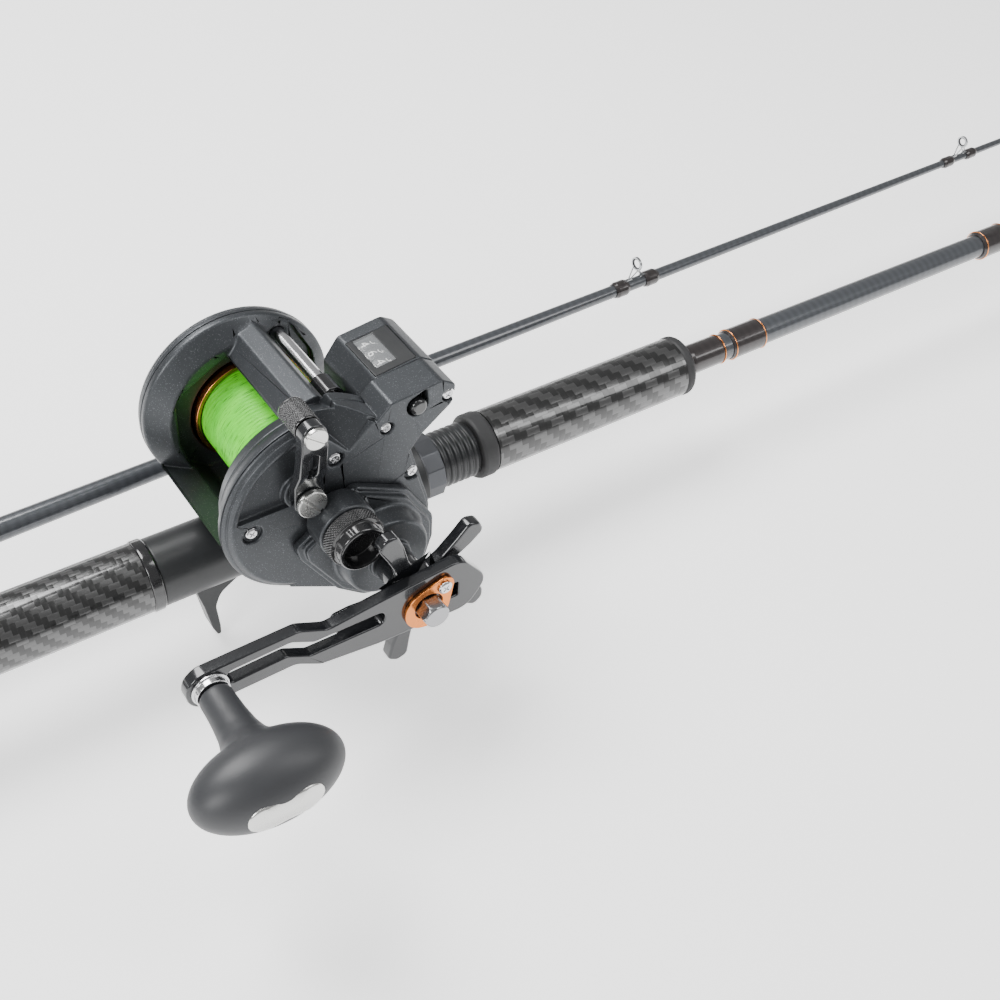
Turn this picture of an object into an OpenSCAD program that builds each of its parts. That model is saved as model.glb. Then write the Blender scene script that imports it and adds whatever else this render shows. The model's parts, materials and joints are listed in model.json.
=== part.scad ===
// Two-piece trolling rod with a line-counter reel on its trigger seat.
// Units are millimetres. X runs along the butt section towards the tip, Z is up on the reel's side,
// and the crank is on the -Y side. The origin is the centre of the rear grip's butt end.

/* [Rod] */
// Outer diameter of the rear grip
grip_d = 28.5; // [26:0.5:30]
// Length of the rear grip
rear_grip_l = 254.5; // [240:0.5:270]
// X where the fore grip begins
fore_grip_x = 403.5; // [403:0.5:410]
// Length of the fore grip with its two end rings
fore_grip_l = 115; // [110:0.5:125]
// Outer diameter of the fore grip's carbon sleeve
fore_grip_d = 27.6; // [26:0.2:28]
// Length of the butt section without its spigot
butt_l = 900; // [850:5:950]
// Length of the ferrule spigot
spigot_l = 60; // [50:1:70]
// Diameter of the ferrule spigot
spigot_d = 9.2; // [9:0.1:9.4]
// X of the ring on the butt section's guide
butt_guide_x = 743; // [735:1:760]

/* [Tip section] */
// X where the tip section's thick end lies
tip_x = 75; // [60:1:100]
// Length of the tip section
tip_l = 930; // [900:5:940]
// Sideways distance of the tip section at its thick end
tip_y = 47.6; // [46:0.1:52]
// Angle between the tip section and the butt section
tip_turn = 1.74; // [1.5:0.01:2]

/* [Reel] */
// X of the spool axis
spool_x = 316; // [314:0.5:318]
// Height of the spool axis
spool_z = 41; // [40:0.5:42]
// X of the crank axis
crank_x = 332; // [331:0.5:333]
// Height of the crank axis
crank_z = 20; // [19:0.5:21]
// Radius of the round side plates
plate_r = 39; // [38:0.5:40]
// Outer radius of the spool's flanges
flange_r = 22.5; // [21:0.5:23]
// Radius of the wound line
line_r = 20.3; // [17:0.1:21]

/* [Crank] */
// Distance from the crank axis to the knob axis
crank_l = 85; // [80:1:90]
// Thickness of the crank arm
arm_t = 5; // [4:0.5:5.5]
// Length, depth and height of the oval knob
knob_size = [54, 30.4, 30.4]; // [28:0.2:60]

/* [Hidden] */

$fn = 64;
glue = 0.05;                       // gap of a glued or pressed joint
run = 0.06;                        // radial gap of a running fit
gap = 0.4;                         // air between parts that move past each other

// Rod
grip_r = grip_d / 2;
seat_r = 13.8;
blank_in_r = 7.5;                  // blank inside the grips
blank_wall = 1.6;
ring_w = 5;
seat_x = rear_grip_l + ring_w;     // X where the seat begins
thread_x = seat_x + 115.4;         // X where the seat's thread begins
thread_r = 11.4;
fore_ring_w = 8;
fore_tip_ring_w = 5;
fore_end = fore_grip_x + fore_grip_l;
check_w = 4;
taper = [[404, 7.5], [530, 6.45], [707, 5.88], [900, 5.25]];   // X and radius along the blank
spigot_r = spigot_d / 2;
butt_ring = 8;                     // ring radius of the butt section's guide
butt_rise = 15;                    // height of its centre above the blank
butt_seats = [along(taper, butt_guide_x - 17.5), along(taper, butt_guide_x + 3.5)];

// Tip section, measured from its thick end
tip_taper = [[0, 5.9], [42, 5.75], [66, 5.0], [144, 4.8], [260, 4.0], [380, 3.5], [500, 2.85],
             [620, 2.3], [760, 1.7], [925, 1.15]];
tip_guides = [[68.5, 2.6], [246.5, 2.5], [465.5, 2.45], [702, 2.2], [831, 2.1]];   // place and ring radius
tip_wall = 0.9;

// Reel
S = [spool_x, spool_z];            // spool axis in X and Z
D = [crank_x, crank_z];            // crank axis
P = [313, 44];                     // centre of the round side plates
palm_y = 33;                       // palm-side face of the frame
palm_in_y = 28;
hand_y = -31;                      // crank-side face of the frame
hand_in_y = -26;
face_y = -42;                      // outer face of the crank-side plate
wall = 2.4;
foot_z = 14;
foot_t = 2.7;
frame_z = foot_z + foot_t;         // underside of the frame
shaft_r = 2;
drive_r = 4;
flange_y = [-23, 29];              // outer faces of the spool's flanges
flange_t = 3;

// Gears: the crank's gear drives the spool's pinion and, through an idler, the worm
main_z = 50;
pinion_z = 12;
idler_z = 27;
worm_z = 13;
gear_m = 2 * norm(S - D) / (main_z + pinion_z);
gear_y = [-38.6, -35.4];
worm_gear_y = -36.6;               // the worm's gear is thinner than the others
idler_d = gear_m * (main_z + idler_z) / 2;
worm_d = idler_d + gear_m * (idler_z + worm_z) / 2;
up = [-0.02, 0.9998];              // direction from the crank axis to the worm
I = D + idler_d * up;              // idler axis
W = D + worm_d * up;               // worm axis
pinion_dir = atan2(S[1] - D[1], S[0] - D[0]);
up_dir = atan2(up[1], up[0]);
main_phase = pinion_dir;
pinion_phase = mesh_phase(main_phase, main_z, pinion_dir, pinion_z);
idler_phase = mesh_phase(main_phase, main_z, up_dir, idler_z);
worm_phase = mesh_phase(idler_phase, idler_z, up_dir, worm_z);

// Counter
C = [352, 72];                     // axis of the digit wheels
wheel_r = 6.9;
wheel_w = 5.6;
wheel_step = 6;
wheel_y = -20.4;                   // crank-side face of the ones wheel
box_y = [-26.4, 3];                // the counter housing's two ends
counter_line = [[338, 60], [338, 71.5], [344, 80], [362.5, 82.5], [369, 78.5], [367.5, 70.5], [354, 60.3]];
top_turn = -atan2(2.5, 18.5);      // slope of the counter's top

// Crank
K = [D[0] - crank_l, D[1] + 6];  // knob axis
arm_y = -83;                       // outer face of the crank arm
knob_y = -125.5;                   // middle of the knob
star_y = [-76.4, -69];

function mix(a, b, t) = a + (b - a) * t;
function along(table, x, i = 0) =
    i >= len(table) - 1 ? table[len(table) - 1][1]
    : x <= table[i + 1][0] ? mix(table[i][1], table[i + 1][1],
        max(0, (x - table[i][0]) / (table[i + 1][0] - table[i][0])))
    : along(table, x, i + 1);
function blank_r(x) = along(taper, x);
function tip_r(x) = along(tip_taper, x);
function polar(r, a) = [r * cos(a), r * sin(a)];
function mesh_phase(phase, z, dir, z2) = dir + 180 - (0.5 - (dir - phase) * z / 360) * 360 / z2;

// Corner of an outline, rounded to radius r by an arc of n steps
function corner(a, b, c, r, n) =
    let (u = (a - b) / norm(a - b), v = (c - b) / norm(c - b),
         half = acos(max(-1, min(1, u * v))) / 2,
         q = b + (u + v) / norm(u + v) * r / sin(half),
         s = b + u * r / tan(half) - q,
         turn = (u[0] * v[1] - u[1] * v[0] > 0 ? -1 : 1) * (180 - 2 * half))
    [for (k = [0:n]) q + [s[0] * cos(turn * k / n) - s[1] * sin(turn * k / n),
                          s[0] * sin(turn * k / n) + s[1] * cos(turn * k / n)]];
function rounded(pts, r, n = 4) =
    [for (i = [0:len(pts) - 1])
        let (m = len(pts), a = pts[(i + m - 1) % m], b = pts[i], c = pts[(i + 1) % m])
        each corner(a, b, c, is_list(r) ? r[i] : r, n)];

// Turned part about the X axis from [radius, x] points
module turned(pts) {
    rotate([0, 90, 0]) rotate_extrude() polygon(pts);
}
// Tube about the X axis
module tube_x(x0, x1, ro, ri) {
    turned([[ri, x0], [ro, x0], [ro, x1], [ri, x1]]);
}
// Extrudes an outline of the XZ plane from y0 to y1
module plate(y0, y1) {
    translate([0, y1, 0]) rotate([90, 0, 0]) linear_extrude(y1 - y0) children();
}
// Cylinder or cone along Y at c = [x, z], radius r0 at y0 and r1 at y1
module rod_y(c, y0, y1, r0, r1 = -1) {
    translate([c[0], y1, c[1]]) rotate([90, 0, 0]) cylinder(h = y1 - y0, r1 = r1 < 0 ? r0 : r1, r2 = r0);
}
// Turned part about an axis along Y at c, from [radius, y] points
module turned_y(c, pts) {
    translate([c[0], 0, c[1]]) rotate([-90, 0, 0]) rotate_extrude() polygon(pts);
}
// Gear outline with straight flanks
module gear_outline(z, phase) {
    r = gear_m * z / 2;
    tip = r + 0.8 * gear_m;
    root = r - 1.05 * gear_m;
    step = 360 / z;
    wide = 0.36 * step;
    narrow = 0.13 * step;
    polygon([for (k = [0:z - 1]) let (a = phase + k * step)
        each [polar(root, a - wide), polar(tip, a - narrow), polar(tip, a + narrow), polar(root, a + wide)]]);
}
module at(c) {
    translate([c[0], c[1]]) children();
}

// ---- Rod, butt section ----

module butt_cap() {
    color("#202020")
    turned([[0, -12], [9, -12], [12.6, -10.4], [14, -7], [14, -glue], [0, -glue]]);
}

module rear_grip() {
    color("#3a3a3a") difference() {
        tube_x(0, rear_grip_l, grip_r, grip_r - 1.4);
    }
}

module grip_cores() {
    color("#5a5a52") {
        tube_x(0, rear_grip_l, grip_r - 1.4 - glue, blank_in_r + glue);
        turned([[blank_r(fore_grip_x + fore_ring_w) + glue, fore_grip_x + fore_ring_w],
                [fore_grip_d / 2 - 1.2 - glue, fore_grip_x + fore_ring_w],
                [fore_grip_d / 2 - 1.2 - glue, fore_end - fore_tip_ring_w],
                [blank_r(fore_end - fore_tip_ring_w) + glue, fore_end - fore_tip_ring_w]]);
    }
}

module rear_ring() {
    color("#0c0c0c")
    turned([[blank_in_r + glue, rear_grip_l + glue], [14.3, rear_grip_l + glue], [14.7, rear_grip_l + 0.8],
            [14.7, seat_x - 1], [14.2, seat_x - glue], [blank_in_r + glue, seat_x - glue]]);
}

// Seat body with the trigger below, the fixed rear hood above and the thread ahead
module reel_seat() {
    color("#1b1c1d") difference() {
        union() {
            turned([[0, seat_x], [seat_r, seat_x], [seat_r, thread_x - 2], [thread_r, thread_x - 0.5],
                    [thread_r, fore_grip_x - glue], [0, fore_grip_x - glue]]);
            for (x = [thread_x + 2:3:fore_grip_x - 1.8])
                turned([[thread_r - 0.4, x - 1.3], [thread_r + 0.75, x - 0.6], [thread_r + 0.75, x + 0.6],
                        [thread_r - 0.4, x + 1.3]]);
            plate(-4, 4) polygon(rounded([[270, -10], [274.5, -16], [277, -26], [279.4, -40], [281.2, -44.6],
                [282.8, -44.6], [283, -40], [282, -28], [284.6, -21.5], [293, -16], [301, -10]],
                [0.5, 3, 8, 6, 0.6, 0.6, 6, 8, 8, 8, 0.5], 5));
            difference() {
                tube_x(284.5, 296.5, seat_r + 4.4, seat_r - 1);
                translate([270, -30, -30]) cube([40, 60, 40]);
            }
        }
        turned([[0, seat_x - 1], [blank_in_r + glue, seat_x - 1], [blank_in_r + glue, fore_grip_x + 1],
                [0, fore_grip_x + 1]]);
        // Seat for the reel foot's rear end under the fixed hood
        difference() {
            tube_x(287, 298, seat_r + 3.2, seat_r + 0.02);
            translate([270, -30, -30]) cube([40, 60, 38.9]);
        }
    }
}

hood_x = 350;                      // rear end of the sliding front hood

module front_hood() {
    color("#1b1c1d") difference() {
        union() {
            difference() {
                tube_x(hood_x, hood_x + 23.9, seat_r + 4.6, seat_r + 0.15);
                translate([hood_x - 1, -40, -40]) cube([26, 80, 40]);
            }
            tube_x(hood_x + 17, hood_x + 23.9, seat_r + 1.3, seat_r + 0.15);
        }
        difference() {
            tube_x(hood_x - 1, hood_x + 12, seat_r + 3.3, seat_r);
            translate([hood_x - 5, -30, -30]) cube([40, 60, 38.9]);
        }
    }
}

module hood_nut() {
    color("#3c3f42") difference() {
        union() {
            rotate([0, 90, 0]) translate([0, 0, hood_x + 26]) cylinder(h = 8.3, r = 14.2, $fn = 12);
            tube_x(hood_x + 24.1, hood_x + 26.1, 14.4, thread_r + 1.1);
        }
        tube_x(hood_x + 23, hood_x + 36, thread_r + 1.05, 0);
    }
}

module fore_grip() {
    color("#3a3a3a")
    tube_x(fore_grip_x + fore_ring_w, fore_end - fore_tip_ring_w, fore_grip_d / 2, fore_grip_d / 2 - 1.2);
}

module fore_grip_rings() {
    color("#161616") {
        grip_ring(fore_grip_x, fore_ring_w, fore_grip_d / 2 + 0.6);
        grip_ring(fore_end - fore_tip_ring_w, fore_tip_ring_w, fore_grip_d / 2 + 0.2);
    }
}

module grip_ring(x, w, r) {
    turned([[blank_r(x) + glue, x + glue], [r - 0.7, x + glue], [r, x + 1.2], [r, x + w - 1.4],
            [r - 0.9, x + w - glue], [blank_r(x) + glue, x + w - glue]]);
}

module winding_check() {
    color("#222426")
    turned([[blank_r(fore_end) + glue, fore_end + glue], [10.4, fore_end + glue], [10.4, fore_end + 1.6],
            [blank_r(fore_end) + 0.8, fore_end + check_w], [blank_r(fore_end) + glue, fore_end + check_w]]);
}

module butt_blank() {
    color("#2f3338") turned([
        for (x = [2, 404, 530, 707, butt_l]) [blank_r(x), x],
        [spigot_r, butt_l], [spigot_r, butt_l + spigot_l], [spigot_r - blank_wall, butt_l + spigot_l],
        for (x = [butt_l, 707, 530, 404, 2]) [blank_r(x) - blank_wall, x]]);
}

// Thread wraps sealed in resin: above the fore grip, under the guide's feet and at the ferrule
module butt_wraps() {
    color("#2a2422") difference() {
        for (w = [[fore_end + check_w + 0.2, 19.5, 0.5], [fore_end + 28.5, 20.5, 0.9],
                  [butt_guide_x - 26.5, 19.3, 1.5], [butt_guide_x + 7.2, 12.3, 1.5], [butt_l - 22, 20, 1]])
            wrap(w[0], w[1], blank_r(w[0]), blank_r(w[0] + w[1]), w[2]);
        guide_feet(butt_guide_x, butt_seats, butt_ring, glue, 1);
    }
}

module wrap(x, l, r0, r1, t) {
    turned([[r0 + 0.02, x], [r0 + t * 0.4, x], [r0 + t, x + 1.6], [r1 + t, x + l - 1.6], [r1 + t * 0.4, x + l],
            [r1 + 0.02, x + l]]);
}

// Wire thickness, foot length and foot place of a guide with ring radius r
function guide_wire(r) = r > 5 ? 1.0 : 0.6;
function guide_foot(r) = r > 5 ? 14 : 9;
function foot_mid(r) = r > 5 ? 10.5 : 7;

// Two feet in line with the blank; seats are the blank's radii below the rear and the front foot
module guide_feet(x, seats, r, grow = 0, below = 0) {
    wire = guide_wire(r);
    for (k = [0, 1])
        translate([x + (2 * k - 1) * foot_mid(r), 0, seats[k] + wire / 2 + 0.08 - below / 2])
            cube([guide_foot(r) + 2 * grow, 2.4 * wire + 2 * grow, wire + 2 * grow + below], center = true);
}
// Guide: feet, four legs and the ring's frame, its centre at height z
module guide_frame(x, seats, r, z) {
    wire = guide_wire(r);
    guide_feet(x, seats, r);
    for (k = [0, 1], t = [-1, 1])
        strut([x + (2 * k - 1) * foot_mid(r) * 0.58, t * wire * 0.6, seats[k] + wire * 0.65],
              [x + (2 * k - 1) * wire * 0.3, t * (r + wire) * 0.62, z - (r + wire) * 0.78], wire / 2);
    translate([x - wire, 0, z]) rotate([0, 90, 0]) difference() {
        cylinder(h = 2 * wire, r = r + 1.5 * wire);
        translate([0, 0, -1]) cylinder(h = 2 * wire + 2, r = r + 0.4 * wire);
    }
}
module strut(a, b, r) {
    d = b - a;
    translate(a) rotate([0, acos(d[2] / norm(d)), atan2(d[1], d[0])]) cylinder(h = norm(d), r = r, $fn = 16);
}
module guide_insert(x, r, z) {
    wire = guide_wire(r);
    translate([x, 0, z]) rotate([0, 90, 0]) rotate_extrude()
        translate([r - 0.15 * wire - 0.02, 0]) circle(r = 0.55 * wire, $fn = 20);
}
module butt_guide_frame() {
    color("#8d9093") guide_frame(butt_guide_x, butt_seats, butt_ring, blank_r(butt_guide_x) + butt_rise);
}

module butt_guide_ring() {
    color("#2c2c30") guide_insert(butt_guide_x, butt_ring, blank_r(butt_guide_x) + butt_rise);
}

// ---- Rod, tip section ----

module on_tip() {
    translate([tip_x, tip_y, 0]) rotate([0, 0, tip_turn]) children();
}

module tip_blank() {
    color("#2f3338") on_tip() difference() {
        turned(concat([[0, 0]], [for (p = tip_taper) [p[1], p[0]]], [[1.15, tip_l - 5], [0, tip_l - 5]]));
        turned([[0, -1], [spigot_r + 0.06, -1], [spigot_r + 0.06, spigot_l], [0, spigot_l]]);
        turned([[0, spigot_l - 1], [3.4, spigot_l - 1], [2.6, 300], [1.2, 620], [0.4, 900], [0, 900]]);
    }
}

module tip_wraps() {
    color("#2a2422") on_tip() difference() {
        for (g = tip_guides, s = [-1, 1])
            let (x = g[0] + (s < 0 ? -13.4 : 5.2)) wrap(x, 8.2, tip_r(x), tip_r(x + 8.2), 1);
        for (g = tip_guides) guide_feet(g[0], tip_seats(g[0]), g[1], glue, 1);
    }
}

function tip_seats(x) = [tip_r(x - 11.5), tip_r(x + 2.5)];
function tip_rise(g) = tip_r(g[0]) + 1.2 * g[1] + 5.5;

module tip_guide_frames() {
    color("#8d9093") on_tip() for (g = tip_guides) guide_frame(g[0], tip_seats(g[0]), g[1], tip_rise(g));
}

module tip_guide_rings() {
    color("#2c2c30") on_tip() for (g = tip_guides) guide_insert(g[0], g[1], tip_rise(g));
}

module tip_top() {
    color("#8d9093") on_tip() {
        difference() {
            tube_x(tip_l - 14, tip_l - 3, 1.9, 0);
            tube_x(tip_l - 30, tip_l - 5 + glue, 1.2, 0);
        }
        strut([tip_l - 4, 0, 0.6], [tip_l + 2.4, 0, 2.3], 0.55);
        for (t = [-1, 1]) strut([tip_l - 12, 0, 1.7], [tip_l + 2.6, t * 2.3, 3.4], 0.35);
        translate([tip_l + 2, 0, 5.6]) rotate([0, 90, 0]) difference() {
            cylinder(h = 1.4, r = 3.4);
            translate([0, 0, -1]) cylinder(h = 4, r = 2.7);
        }
    }
}

module tip_top_ring() {
    color("#2c2c30") on_tip() translate([tip_l + 2.7, 0, 5.6]) rotate([0, 90, 0]) rotate_extrude()
        translate([2.7 - 0.52, 0]) circle(r = 0.5, $fn = 20);
}

// ---- Reel: foot, frame and covers ----

module reel_foot() {
    color("#46494d") difference() {
        union() {
            intersection() {
                tube_x(287.5, 357.5, seat_r + 2.6, 0);
                translate([270, -9.5, 0]) cube([100, 19, 40]);
            }
            translate([297, -13, 8]) cube([50, 26, frame_z - glue - 8]);
        }
        tube_x(270, 370, seat_r + glue, 0);
    }
}

// Outline of two round ends of radius ra and rb joined by their tangents
module belt(a, ra, b, rb) {
    d = b - a;
    base = atan2(d[1], d[0]);
    turn = acos((ra - rb) / norm(d));
    at(a) circle(ra);
    at(b) circle(rb);
    polygon([a + polar(ra, base + turn), a + polar(ra, base - turn),
             b + polar(rb, base - turn), b + polar(rb, base + turn)]);
}

// Opening inside both side rings, seen along the spool axis
open_pts = [[307.2, 71], [285.7, 58.5], [285.5, 37], [291.8, 15], [334, 12], [344, 28], [344.5, 58], [335, 76.5]];
bar_pts = [[307.4, 70], [314, 78.2], [321.4, 79.8], [325.6, 75], [322, 71.4], [312, 67.6]];
base_pts = [[270, 26.5], [279, 25.2], [290.5, 22.8], [297, 17.4], [334, 17.4], [341, 24], [345.5, 32.5], [356, 29.5],
            [356, frame_z], [270, frame_z]];
G = [334.4, 63.4];                 // axis of the slim guide rod
worm_tube_r = 3.2;
guide_rod_r = 1.5;

// Cut that rounds the upper rear rim of the frame's crank-side ring and of its cover
module hand_rim_relief() {
    intersection() {
        union() {
            turned_y(P, [[33, -24], [36, hand_y], [38.6, -35.5], [plate_r, -37.4], [plate_r + 6, -37.4],
                         [plate_r + 6, -24]]);
            turned_y(P, [[35.8, face_y - 1], [35.8, face_y], [plate_r, -39], [plate_r + 6, -39],
                         [plate_r + 6, face_y - 1]]);
            turned_y(P, [[plate_r - 0.6, -38.4], [plate_r + 1, -38.4], [plate_r + 1, -38], [plate_r - 0.6, -38]]);
        }
        plate(face_y - 2, -20) polygon([P + [4, 8], P + polar(80, 76), P + polar(80, 165), P + polar(80, 248)]);
    }
}

module reel_frame() {
    color("#55595e") difference() {
        union() {
            difference() {
                union() {
                    rod_y(P, palm_in_y, palm_y, plate_r);
                    rod_y(P, palm_in_y - 6, palm_in_y, plate_r - 8, plate_r);
                    rod_y(P, hand_y, hand_in_y, plate_r);
                    rod_y(P, hand_in_y, hand_in_y + 1.5, plate_r, plate_r - 2);
                }
                plate(hand_in_y + 2, palm_in_y - 1) polygon(rounded(open_pts, [6, 7, 7, 3, 3, 8, 9, 5]));
                // Seam groove round the palm-side rim
                difference() {
                    rod_y(P, palm_y - 2.6, palm_y - 2.1, plate_r + 1);
                    rod_y(P, palm_y - 3, palm_y - 2, plate_r - 0.5);
                }
            }
            plate(hand_in_y, palm_in_y) polygon(rounded(bar_pts, [2, 2, 2, 2, 1.5, 2]));
            intersection() {
                plate(hand_in_y, palm_in_y) polygon(rounded(base_pts, [0.5, 1, 2.5, 3, 3, 3, 1.5, 1, 1, 1]));
                rod_y(P, hand_in_y, palm_in_y, plate_r);
            }
        }
        hand_rim_relief();
        tube_x(283.9, 297, seat_r + 4.8, 0);
        rod_y(S, hand_y - 1, hand_in_y + 2.5, flange_r + 0.7);
        rod_y(S, palm_in_y - 2.5, palm_y + 1, flange_r + 0.7);
        rod_y(W, hand_y - 1, palm_y - 1.5, worm_tube_r + glue);
        rod_y(G, hand_y + 2, palm_y - 1.5, guide_rod_r + glue);
    }
}

module palm_cover() {
    color("#55595e") difference() {
        union() {
            difference() {
                turned_y(P, [[0, palm_y + 8], [27, palm_y + 8], [34.5, palm_y + 5.6], [38.2, palm_y + 1.8],
                    [38.8, palm_y + glue], [0, palm_y + glue]]);
                turned_y(P, [[0, palm_y + 5.6], [26, palm_y + 5.6], [33, palm_y + 3.4], [36.2, palm_y + 1],
                    [36.4, palm_y - 1], [0, palm_y - 1]]);
            }
            rod_y(S, palm_y + 1, palm_y + 6, 7.4);
        }
        rod_y(S, palm_y, palm_y + 4, 5 + glue);
    }
}

// Lines and points on the crank-side plate, seen from the crank side
L = [305, 55];                     // clutch lever's pivot
plate_screws = [[284.7, 43.6, 3.9], [350.4, 43.5, 3.5], [318.6, 64, 3.1]];   // X, Z and radius of the recess
box_screws = [[365.4, 74.3], [339.6, 69.4]];
button_c = [352.3, 74.9];
box_end = [[322, 58], [326.3, 67], [331, 69.5], [341.5, 80.3], [362.5, 82.5], [368.6, 78.6], [367, 70.3],
           [354, 60.3], [349, 54]];
gear_room_r = 24.4;
gear_room_p = 33.4;
floor_y = -33.2;

module lever_recess(grow) {
    intersection() {
        at(P) circle(34.2);
        polygon([[270, 50.4 - grow], [299, 50.4 - grow], [309, 46.5 - grow], [314 + grow, 55],
                 [314.2 + grow, 90], [270, 90]]);
    }
}

module handle_side_plate() {
    color("#55595e") difference() {
        union() {
            plate(face_y + 2, hand_y - glue) belt(P, plate_r, D, 27);
            plate(face_y, face_y + 2) belt(P, plate_r - 1.6, D, 25.4);
            plate(face_y, box_y[0] - 0.2) polygon(rounded(box_end, [1, 3, 3, 2.5, 4, 2.5, 2.5, 3, 2]));
        }
        hand_rim_relief();
        // Room for the frame's rim behind the counter's end
        rod_y(P, hand_y - glue, box_y[0] + 1, plate_r + 0.1);
        // Slope between the face and the level wind
        translate([326.3, face_y, 67.6]) rotate([0, -41, 0]) rotate([-35, 0, 0])
            translate([-3, -20, -16]) cube([29, 20, 50]);
        // Gear room, closed towards the spool by a floor
        difference() {
            plate(face_y + 2.6, floor_y) belt(P, gear_room_p, D, gear_room_r);
            for (c = plate_screws) rod_y(c, face_y, hand_y, c[2] + 0.9);
            rod_y(L, face_y, hand_y, 5);
            plate(face_y, face_y + 4.8) lever_recess(1.4);
            rod_y(I, face_y + 2.6, hand_y, 1.5);
            plate(face_y, hand_y) polygon([[260, 66.2], [340, 66.2], [349, 60], [358, 60], [358, 92], [260, 92]]);
        }
        rod_y(W, worm_gear_y - 0.4, floor_y, 6.7);
        rod_y(W, gear_y[0] - 0.7, floor_y, 2.42);
        rod_y(W, floor_y - 1, hand_y + 1, 2.42);
        rod_y(S, floor_y - 0.4, hand_y + 1, 5 + glue);
        rod_y(D, floor_y - 1, hand_y - 0.6, drive_r + run);
        // Windows that the gear cover closes
        rod_y(D, face_y - 1, face_y + 2.8, 19);
        rod_y(S, face_y - 1, face_y + 2.8, 6.6);
        // Recess in which the clutch lever swings
        plate(face_y - 1, face_y + 2.6) difference() {
            lever_recess(0);
            at(L) circle(7.3);
        }
        for (c = plate_screws) {
            rod_y(c, face_y - 1, face_y + 1.8, c[2]);
            rod_y(c, face_y - 1, floor_y + 0.4, 1.25);
        }
        for (c = box_screws) {
            rod_y(c, face_y - 1, face_y + 1.8, 2.7);
            rod_y(c, face_y - 1, face_y + 12, 1.25);
        }
        rod_y(L, face_y - 1, floor_y + 0.4, 3 + glue);
        // Button hole and the room behind it
        plate(face_y - 1, face_y + 4) belt(button_c, 4.3, button_c + [3, 5], 0.9);
        rod_y(button_c, face_y + 3.9, face_y + 12.2, 4.7);
        // Blind seat of the counter's shaft
        rod_y(C, box_y[0] - 2.6, box_y[0] + 1, 1.5 + glue);
        // Notch below the plate
        translate([302, face_y - 1, -12]) cube([7, 5, 9.6]);
    }
}

ped_pts = [[323.4, 51.8], [346, 39.9], [357.6, 21], [357.6, 10], [353.6, -3], [328.7, -8.6], [315.5, 2.2], [300.8, 25.5],
           [299.4, 31.8], [304.2, 35]];
ped_mid = [329, 22];
function inset(pts, c, k) = [for (p = pts) c + (p - c) * k];
neck_r = 11.6;

module gear_cover() {
    color("#55595e") difference() {
        union() {
            plate(face_y - 3.6, face_y - glue) polygon(rounded(ped_pts, [6, 7, 7, 6, 8, 9, 6, 4, 3, 4]));
            plate(face_y - 6, face_y - 3.6)
                polygon(rounded(inset(ped_pts, ped_mid, 0.91), [6, 7, 7, 6, 8, 9, 6, 4, 3, 4]));
            difference() {
                rod_y(D, face_y - 14, face_y - 6, 17, 18.6);
                rod_y(S, face_y - 15, face_y - 13.2, 11.7);
            }
            rod_y(D, face_y - 16, face_y - 12, 8.6);
            rod_y(S, face_y - 13.2, face_y - 2, neck_r);
            rod_y(S, face_y - 16, face_y - 11, 7.5);
        }
        rod_y(D, face_y - 9, face_y + 1, 17.2);
        rod_y(D, face_y - 17, face_y, drive_r + run);
        rod_y(S, face_y - 12, face_y + 1, 5.6);
        rod_y(S, face_y - 17, face_y - 12, 5 + glue);
        translate([299, face_y - 4.4, -12]) cube([12, 5, 9.2]);
    }
}

// ---- Counter ----

module on_top() {
    translate([344, 0, 80]) rotate([0, top_turn, 0]) children();
}

module counter_housing() {
    color("#55595e") difference() {
        plate(box_y[0], box_y[1]) polygon(rounded(counter_line, [2, 5, 3, 4, 3, 4, 2]));
        // Sits over the frame's crank-side ring
        rod_y(P, box_y[0] - 1, hand_in_y + 1.6, plate_r + 0.1);
        rod_y(C, box_y[0] - 1, 0.6, wheel_r + gap);
        rod_y(C, 0, 2, 1.5 + glue);
        // Rebate for the bezel and the window below it
        on_top() translate([0.4, -25.4, -1]) cube([17.5, 22.4, 3]);
        on_top() translate([2.2, -22.6, -6]) cube([10, 20 - 1.6, 6]);
    }
}

module counter_bezel() {
    color("#131415") difference() {
        on_top() translate([0.4 + glue, -25.4 + glue, -1 + glue]) cube([17.5 - 2 * glue, 22.4 - 2 * glue, 0.95]);
        on_top() translate([3, -21.6, -2]) cube([8.4, 18, 4]);
    }
}

module counter_lens() {
    color([0.8, 0.85, 0.9, 0.35])
    on_top() translate([3 + glue, -21.6 + glue, -0.9]) cube([8.4 - 2 * glue, 18 - 2 * glue, 0.8]);
}

module digit_wheel(k) {
    y = wheel_y + k * wheel_step;
    color("#1a1a1c") difference() {
        union() {
            rod_y(C, y, y + wheel_w, wheel_r - 0.25);
            rod_y(C, y + 0.5, y + wheel_w - 0.5, wheel_r);
        }
        rod_y(C, y - 1, y + wheel_w + 1, 1.5 + run);
    }
}
module ones_wheel() { digit_wheel(0); }
module tens_wheel() { digit_wheel(1); }
module hundreds_wheel() { digit_wheel(2); }

module counter_shaft() {
    color("silver") rod_y(C, box_y[0] - 2.4, 1.9, 1.5);
}

module reset_button() {
    color("#141414") {
        rod_y(button_c, face_y - 1, face_y + 8, 3.4);
        rod_y(button_c, face_y - 1.9, face_y - 1, 2.4, 3.4);
        rod_y(button_c, face_y + 4.3, face_y + 6, 4.4);
    }
}

module cover_screws() {
    color("silver") {
        for (c = plate_screws) pan_screw(c, face_y + 1.75, 2.5, 1.2, 5.6);
        for (c = box_screws) pan_screw(c, face_y + 1.75, 2.3, 1.2, 9);
    }
}
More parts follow.
